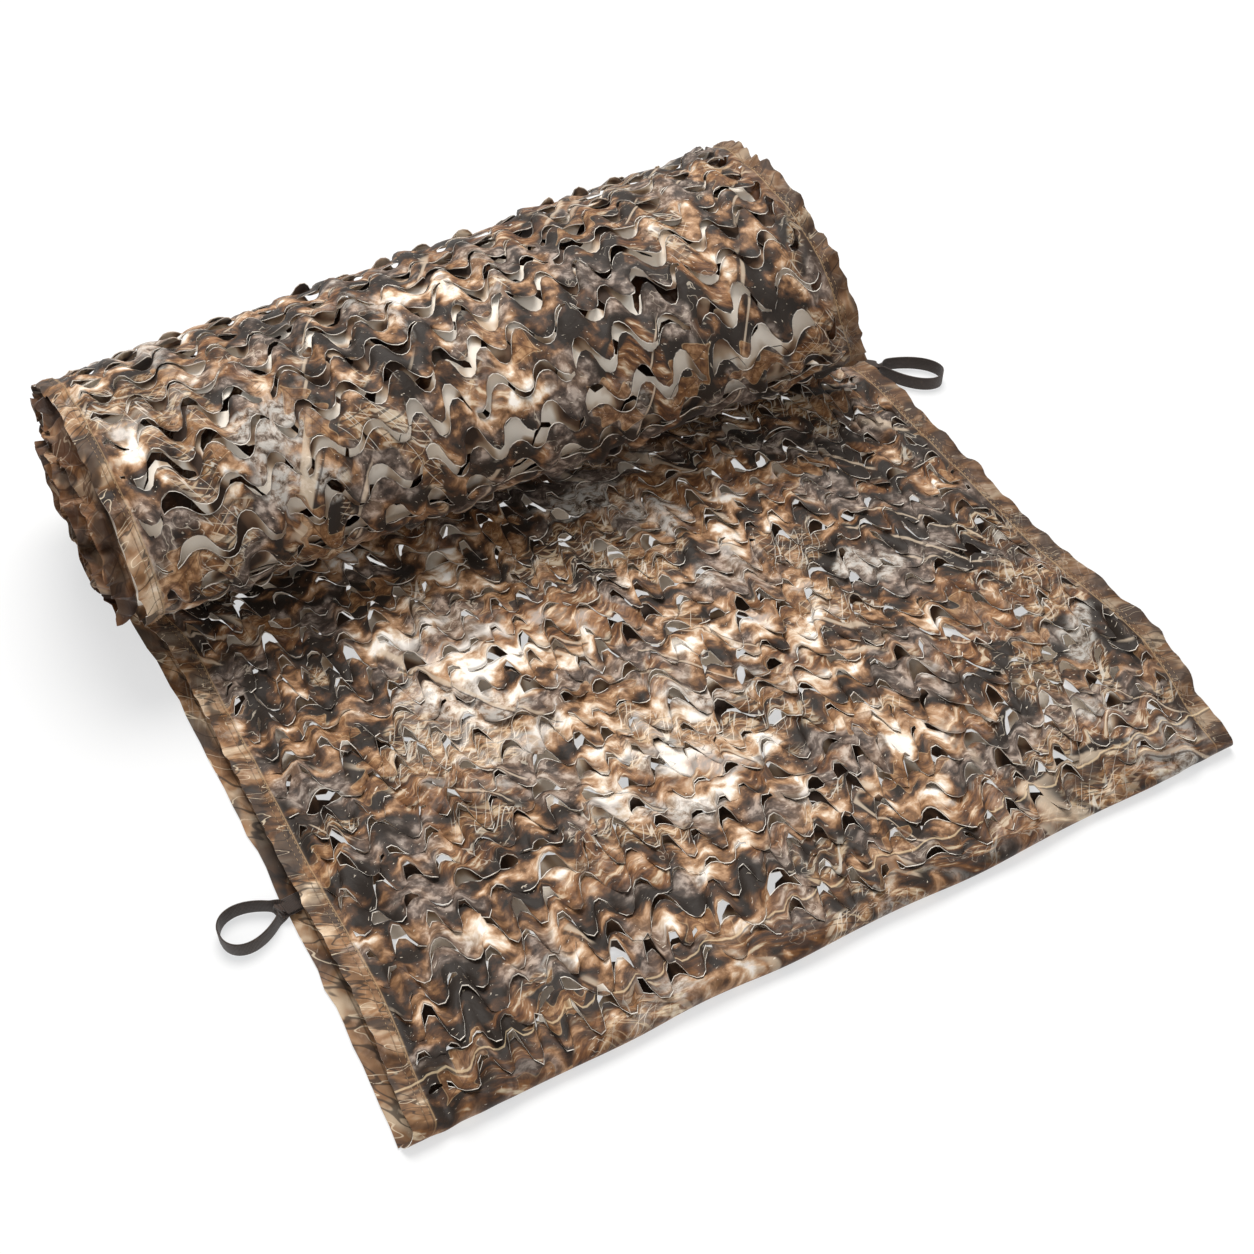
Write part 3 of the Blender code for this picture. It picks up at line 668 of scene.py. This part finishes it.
# rows of cuts 36 mm apart, in distances back from the fold
GROUND_CUTS = 0.036 + 0.036 * np.arange(10)
lower_cloth = leaf_cloth("lower_cloth", 0, -1.0, -0.430, 0.0, GROUND_CUTS[::-1], {
    "seed": 100, "waves": 14, "columns": 8, "rows": 3, "opening": 0.0075, "uneven": 0.6,
    "bridges": (0.9, 2.2), "tie": 0.6, "drift": 0.5, "jumble": 0.22, "height": 0.0086, "closed": 0.0,
    "ragged": 0.0005, "jumbled": 0.0,
    "leaf": 0.0, "dip": 0.0, "lobe": 0.0, "arch": 0.0, "lap": 0.0, "tuck": 0.0, "belly": 0.0,
    "crumple": -0.0006, "pucker": (0.0003,), "print_from": 0.0,
})
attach(lower_cloth, "root")
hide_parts("net")

# ---------------------------------------------------------------------------------------------------
# The upper cloth: the same cloth, which comes round the fold at the front and lies on the lower one.
# Its print looks up, and its cuts stand open with their leaves and lobes raised, jumbled and slack.

FOLD_STEPS = 8
FOLD_STEP_LONG = 0.0014


def front_fold(first_row, across):
    """Rows round the soft fold, from the lower cloth up to the upper cloth's first row."""
    lower = cloth_points(0, across, 0.0 * across, 0.0 * across)
    rows = []
    flat_rows = []
    bulge = FOLD_GAP / 2.0 * (1.1 + 0.5 * wobble(31, across, 0.0 * across, 0.05))
    for step in range(FOLD_STEPS):
        turn = math.pi * step / FOLD_STEPS
        share = (1.0 - math.cos(turn)) / 2.0
        row = lower + (first_row - lower) * share
        row[:, 1] = row[:, 1] - bulge * math.sin(turn)
        rows.append(row)
        flat_rows.append(np.full(len(across), (step - FOLD_STEPS) * FOLD_STEP_LONG))
    return np.array(rows), np.array(flat_rows)


# rows of cuts 16.6 mm apart, as distances from the fold
OPEN_CUTS = 0.0125 + 0.0166 * np.arange(23)
upper_cloth = leaf_cloth("upper_cloth", 1, 1.0, 0.0, 0.425, OPEN_CUTS, {
    "seed": 200, "waves": 23, "columns": 9, "rows": 6, "opening": 0.0068, "uneven": 1.0,
    "bridges": (0.7, 2.3), "tie": 0.6, "drift": 2.5, "jumble": 0.80, "height": 0.0054, "closed": 0.9,
    "ragged": 0.0004, "jumbled": 0.0030,
    "leaf": 0.0010, "dip": -0.0010, "lobe": 0.0040, "arch": 0.0044, "lap": 0.0050, "tuck": 0.0036,
    "belly": 0.0014, "crumple": 0.0021, "pucker": (0.0014,), "print_from": 0.0,
    "start_rows": front_fold,
})
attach(upper_cloth, "root")
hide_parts("net")

# ---------------------------------------------------------------------------------------------------
# The inner turns of the roll: both cloths wound on, crumpled at their ends, where their hems show.
# The upper cloth's first turn has the off-white back that shows through the cuts of the wrap.

TURN_ROWS = 0.0026
OVERLAP = 0.02


def plain_turns(name, level, first, last, seed):
    """A closed thin cloth without cuts, crumpled at its two sides."""
    ends = np.array((0.0, 0.0012, 0.004, 0.008, 0.012, 0.016, 0.020, 0.025, 0.034, 0.05, 0.08, 0.12, 0.18))
    across = np.concatenate((ends, WIDTH - ends[::-1]))
    along = np.arange(first, last, TURN_ROWS)
    wide, long = np.meshgrid(across, along)
    from_side = np.minimum(wide, WIDTH - wide)
    loose = np.exp(-(from_side / 0.045) ** 2)
    folds = wobble(seed, long, from_side * 0.35, 0.0058) * 0.0040
    folds = folds + wobble(seed + 1, long, from_side * 0.3, 0.020) * 0.0028
    lift = folds * (0.12 + 0.88 * loose)
    points = cloth_points(level, wide, long, lift)
    ragged = wobble(seed + 2, long, 0.0 * long, 0.05) * 0.0030
    ragged = ragged + wobble(seed + 3, long, 0.0 * long, 0.009) * 0.0016
    points[..., 0] += ragged * np.sign(wide - WIDTH / 2.0) * loose
    count = len(across)
    grid = np.arange(len(along) * count).reshape(-1, count)
    faces = np.stack((grid[:-1, :-1], grid[:-1, 1:], grid[1:, 1:], grid[1:, :-1]), axis=-1).reshape(-1, 4)
    if not level:
        faces = faces[:, ::-1]
    flat = (long + PRINT_INSIDE) * (1.0 if level else -1.0)
    uncut = np.full(wide.size, STRIP)
    return cloth_object(name, points.reshape(-1, 3), faces, wide.ravel(), flat.ravel(), uncut)


# distances along each cloth where the roll starts, where its first turn ends and where the cloth ends
roll_starts = [float(np.interp(0.0, PLACES, distances)) for distances in DISTANCES]
first_turns = [float(np.interp(1.0, PLACES, distances)) for distances in DISTANCES]
roll_ends = [float(np.interp(3.1, PLACES, distances)) for distances in DISTANCES]
FIRST_TURN_CUTS = np.arange(0.450, first_turns[1] - OVERLAP, 0.0285)
first_turn = leaf_cloth("upper_cloth_first_turn", 1, -1.0, -first_turns[1], -0.425, FIRST_TURN_CUTS[::-1], {
    "seed": 340, "waves": 13, "columns": 8, "rows": 11, "opening": 0.0060, "uneven": 0.9,
    "bridges": (0.8, 2.0), "tie": 0.6, "drift": 1.2, "jumble": 0.3, "height": 0.0086, "closed": 0.0,
    "ragged": 0.0016, "jumbled": 0.0,
    "leaf": 0.0, "dip": 0.0, "lobe": 0.0, "arch": 0.0, "lap": 0.0, "tuck": 0.0, "belly": 0.0,
    "crumple": 0.0010, "pucker": (0.0048, 0.0065), "print_from": 2.0, "raised": -0.0060,
})
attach(first_turn, "root")
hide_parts("net")
upper_turns = plain_turns("upper_cloth_turns", 1, first_turns[1], roll_ends[1], 300)
lower_turns = plain_turns("lower_cloth_turns", 0, first_turns[0] - OVERLAP, roll_ends[0], 320)
for turns, level in ((upper_turns, 1), (lower_turns, 0)):
    length = roll_ends[level] - (first_turns[1] if level else first_turns[0] - OVERLAP)
    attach(turns, "root")
    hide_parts("net")

# ---------------------------------------------------------------------------------------------------
# The outer wrap of the roll: the lower cloth, print outwards, stretched so that its cuts gape into
# bands with the crests of their waves up the front of the roll, each leaf standing off a little.

wrap_first = roll_starts[0] + 0.005
wrap_last = first_turns[0] - 0.015

# the rows of cuts are closer together below, and wider apart and further open up the front, from the
# place where they start to change on through the given share of a turn
WRAP_PITCHES = (0.0198, 0.0272)
WRAP_OPENINGS = (0.0044, 0.0086)
WRAP_CHANGE = (0.42, 0.22)
wrap_cuts = []
wrap_openings = []
along = wrap_first + 0.020
while along < wrap_last - 0.012:
    place = np.interp(along, DISTANCES[0], PLACES)
    at_front = float(eased((place - WRAP_CHANGE[0]) / WRAP_CHANGE[1]))
    wrap_cuts.append(along)
    wrap_openings.append(between(WRAP_OPENINGS, at_front))
    along += between(WRAP_PITCHES, at_front)
outer_wrap = leaf_cloth("outer_wrap", 0, -1.0, -wrap_last, -wrap_first, np.array(wrap_cuts)[::-1], {
    "seed": 400, "waves": 16, "columns": 12, "rows": 7, "opening": np.array(wrap_openings)[::-1],
    "uneven": 0.5, "bridges": (1.8, 4.0), "tie": 0.35, "drift": 0.9, "jumble": 0.28, "height": 0.0072,
    "closed": 0.0, "ragged": 0.0009, "jumbled": 0.0012,
    "leaf": 0.0034, "dip": -0.0010, "lobe": 0.0042, "arch": 0.0018, "lap": 0.0018, "tuck": 0.0,
    "belly": 0.0012, "crumple": 0.0012, "pucker": (0.0021, 0.0075), "print_from": PRINT_ON_WRAP,
})
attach(outer_wrap, "root")
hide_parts("net")

# ---------------------------------------------------------------------------------------------------
# The hem stitches: two lines of light brown polyester thread along each side of the cloth. They are sewn
# through the doubled cloth of the hem by machine, and sit in a shallow furrow.

# spun polyester thread, a little shiny, in light and darker browns
THREAD, tree, shader = new_material("polyester thread", 0.5)
spun = add_node(tree, "TexCoord").outputs[3]
spun = add_node(tree, "TexNoise", None, spun, Scale=900.0, Detail=1.0)
colour = add_node(tree, "Mix", COLOURS, spun, in6=linear("#6b4f36"), in7=linear("#b8996f"))
tree.links.new(colour.outputs[2], shader.inputs["Base Color"])

# one stitch is 2.4 mm long, half a millimetre wide and a third high
STITCH = (0.0024, 0.00055, 0.00035)
STITCH_PITCH = 0.0034


def stitch_rows(name, level, first, last, seed, *pucker):
    """Short flat stitches that follow the hems of one cloth."""
    points = []
    faces = []
    along = np.arange(first, last, STITCH_PITCH)
    for line in SEAMS:
        for across in (line, WIDTH - line):
            for start in along:
                long = start + STITCH[0] * np.array((0.0, 0.25, 0.75, 1.0))
                high = STITCH[2] * np.array((-0.6, 1.0, 1.0, -0.6)) + CLOTH / 2.0
                ring = []
                for side, top in ((-0.5, 0.0), (0.0, 1.0), (0.5, 0.0)):
                    wide = np.full(4, across + side * STITCH[1])
                    lift = hem_lift(seed, wide, long, *pucker) + high * top + (1.0 - top) * CLOTH / 4.0
                    ring.append(cloth_points(level, wide, long, lift))
                base = len(points)
                points += [tuple(p) for p in np.concatenate(ring)]
                for i in range(3):
                    faces.append((base + i, base + i + 1, base + 4 + i + 1, base + 4 + i))
                    faces.append((base + 4 + i, base + 4 + i + 1, base + 8 + i + 1, base + 8 + i))
    mesh = bpy.data.meshes.new(name)
    mesh.from_pydata(points, [], faces)
    mesh.materials.append(THREAD)
    mesh.shade_smooth()
    stitches = bpy.data.objects.new(name, mesh)
    bpy.context.collection.objects.link(stitches)
    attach(stitches, "root")
    return stitches


stitch_rows("upper_hem_stitches", 1, 0.004, 0.385, 208, 0.0014)
stitch_rows("wrap_hem_stitches", 0, wrap_first, wrap_last, 408, 0.0021, 0.0075)

# ---------------------------------------------------------------------------------------------------
# The ribbon loops: dark brown woven ribbon, 10 mm wide, sewn in between the two cloths by its ends.
# Its two strands part at the hem, turn on edge and meet in a round bend.

# woven polyester ribbon: ribs 0.7 mm apart across it and warp cords 1.2 mm apart along it, worn in patches
RIB_PITCH = 0.0007
CORD_PITCH = 0.0012
RIBBON, tree, shader = new_material("woven brown ribbon", 0.75, 0.25)
strip = add_node(tree, "UVMap", {"uv_map": "ribbon"})
lengthways, crossways, _ = add_node(tree, "SeparateXYZ", None, strip).outputs
ribs = add_node(tree, "Math", SINE, add_node(tree, "Math", MULTIPLY, lengthways, TURN / RIB_PITCH))
cords = add_node(tree, "Math", SINE, add_node(tree, "Math", MULTIPLY, crossways, TURN / CORD_PITCH))
woven = add_node(tree, "Math", MULTIPLY_ADD, cords, 0.3, ribs)
raised = add_node(tree, "MapRange", EASED, woven, -1.2, 1.2)
colour = add_node(tree, "Mix", COLOURS, raised, in6=linear("#1a120c"), in7=linear("#44332a")).outputs[2]
worn = blots(tree, strip, 0.5, 0.8, Scale=300.0)
tree.links.new(masked(tree, worn, 0.4, colour, linear("#57463a")), shader.inputs["Base Color"])
bump = add_node(tree, "Bump", None, Strength=0.5, Distance=0.0003, Height=woven)
tree.links.new(bump.outputs[0], shader.inputs["Normal"])

# the ribbon's width and thickness, its rounded section, and how the loop stands
RIBBON_SIZE = (0.0098, 0.0009)
RIBBON_SECTION = ((-1, -0.7), (-0.9, -1), (0.9, -1), (1, -0.7), (1, 0.7), (0.9, 1), (-0.9, 1), (-1, 0.7))
SEWN_SHARE = 0.12
SEWN_REACH = 0.06
LOOP_HEIGHT = 0.0052
HALF_PLY = 0.0010


def ribbon_loop(name, root_x, root_y, way_out, length, width):
    """A loop of ribbon as a closed thin strip, with its ends laid together between the cloths."""
    shares = np.linspace(0.0, 1.0, 97)
    turn = math.radians(way_out)
    centres = []
    stands = []
    for share in shares:
        first_half = share < 0.5
        from_end = share if first_half else 1.0 - share
        side = 1.0 if first_half else -1.0
        beyond = (from_end - SEWN_SHARE) / (0.5 - SEWN_SHARE)

        # the sewn ends lie together on the cloth; beyond them the strands part and turn on edge
        if beyond < 0.0:
            reach, spread = beyond * SEWN_REACH, 0.0
        else:
            reach = length * (1.0 - math.cos(math.pi * beyond)) / 2.0
            spread = width / 1.36 * math.sin(math.pi * beyond) * math.sin(math.pi * beyond / 2.0) ** 0.8
        stand = math.radians(90.0) * float(eased((beyond + 0.05) / 0.30))
        ply = side * HALF_PLY
        aside = side * spread + ply * math.sin(stand)
        centres.append(Vector((reach, aside, LOOP_HEIGHT + ply * math.cos(stand))))
        stands.append(stand if first_half else math.pi - stand)
    points = []
    uv = []
    faces = []
    travelled = 0.0
    for i, centre in enumerate(centres):
        ahead = centres[min(i + 1, len(centres) - 1)] - centres[max(i - 1, 0)]
        ahead.z = 0.0
        ahead.normalize()
        across = Vector((ahead.y, -ahead.x, 0.0)) * math.cos(stands[i])
        across = across + Vector((0.0, 0.0, math.sin(stands[i])))
        through = across.cross(ahead).normalized()
        travelled += (centre - centres[i - 1]).length if i else 0.0
        for a, b in RIBBON_SECTION:
            p = centre + across * (a * RIBBON_SIZE[0] / 2.0) + through * (b * RIBBON_SIZE[1] / 2.0)
            east = p.x * math.cos(turn) - p.y * math.sin(turn)
            north = p.x * math.sin(turn) + p.y * math.cos(turn)
            points.append((root_x + east + CORNER.x, root_y + north + CORNER.y, p.z))
            uv.append((travelled, a * RIBBON_SIZE[0] / 2.0))
    rings = np.arange(len(points)).reshape(len(centres), -1)
    for near, far in zip(rings, rings[1:]):
        faces += np.stack((near, np.roll(near, -1), np.roll(far, -1), far), axis=-1).tolist()
    faces.append(rings[0][::-1].tolist())
    faces.append(rings[-1].tolist())
    mesh = bpy.data.meshes.new(name)
    mesh.from_pydata(points, [], faces)
    layer = mesh.uv_layers.new(name="ribbon")
    for loop in mesh.loops:
        layer.data[loop.index].uv = uv[loop.vertex_index]
    mesh.materials.append(RIBBON)
    mesh.shade_smooth()
    ribbon = bpy.data.objects.new(name, mesh)
    bpy.context.collection.objects.link(ribbon)
    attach(ribbon, "root")
    return ribbon


left_ribbon = ribbon_loop("left_ribbon_loop", -0.0070, 0.1465, 184.0, 0.0340, 0.0190)
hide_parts("loop_left")
right_ribbon = ribbon_loop("right_ribbon_loop", 0.5030, 0.3620, -42.0, 0.0440, 0.0160)
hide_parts("loop_right")

# ---------------------------------------------------------------------------------------------------
# The studio: a table of cast opal acrylic, lit faintly from below, so that shadows on it stay light.
# A soft lamp hangs behind at the upper right and a weak one in front; the camera looks down from the left.

# cast opal acrylic with a matt top: nearly white
FLOOR, tree, shader = new_material("white opal acrylic", 0.9)
shader.inputs["Base Color"].default_value = linear("#a9a9a9")
shader.inputs["Specular IOR Level"].default_value = 0.1
shader.inputs["Emission Color"].default_value = linear("#fafbfc")
shader.inputs["Emission Strength"].default_value = 0.58
bpy.ops.object.select_all(action="DESELECT")
bpy.ops.mesh.primitive_plane_add(size=14.0, location=(0.0, 0.0, -0.0004))
floor = bpy.context.object
floor.name = "studio_floor"
floor.data.materials.append(FLOOR)


def soft_light(name, place, aim, size, power, colour):
    """A round lamp of the given size in metres and power in watts, turned to where it aims."""
    data = bpy.data.lights.new(name, "AREA")
    data.shape = "DISK"
    data.size = size
    data.energy = power
    data.color = linear(colour)[:3]
    lamp = bpy.data.objects.new(name, data)
    bpy.context.collection.objects.link(lamp)
    lamp.location = place
    lamp.rotation_euler = (Vector(aim) - Vector(place)).to_track_quat("-Z", "Y").to_euler()


soft_light("key_light", (0.38, 0.92, 2.28), (0.0, 0.0, 0.05), 1.6, 56.0, "#fffdfa")
soft_light("front_fill", (-1.4, -1.6, 1.6), (0.0, 0.0, 0.0), 1.8, 9.0, "#fdfcfa")
world = bpy.data.worlds.new("studio")
bpy.context.scene.world = world
world.use_nodes = True
world.node_tree.nodes["Background"].inputs["Color"].default_value = linear("#f7f7f6")
world.node_tree.nodes["Background"].inputs["Strength"].default_value = 0.52

# the camera stands 0.79 m high and looks down at 48 degrees
lens = bpy.data.cameras.new("camera")
lens.lens = 51.675
lens.sensor_width = 36.0
lens.clip_start = 0.01
camera = bpy.data.objects.new("camera", lens)
bpy.context.collection.objects.link(camera)
camera.location = (-0.34535, -0.64411, 0.785)
camera.rotation_euler = (math.radians(90.0 - 47.7), 0.0, math.radians(-28.5))
bpy.context.scene.camera = camera
bpy.context.scene.view_settings.view_transform = "Standard"

bpy.context.view_layer.update()
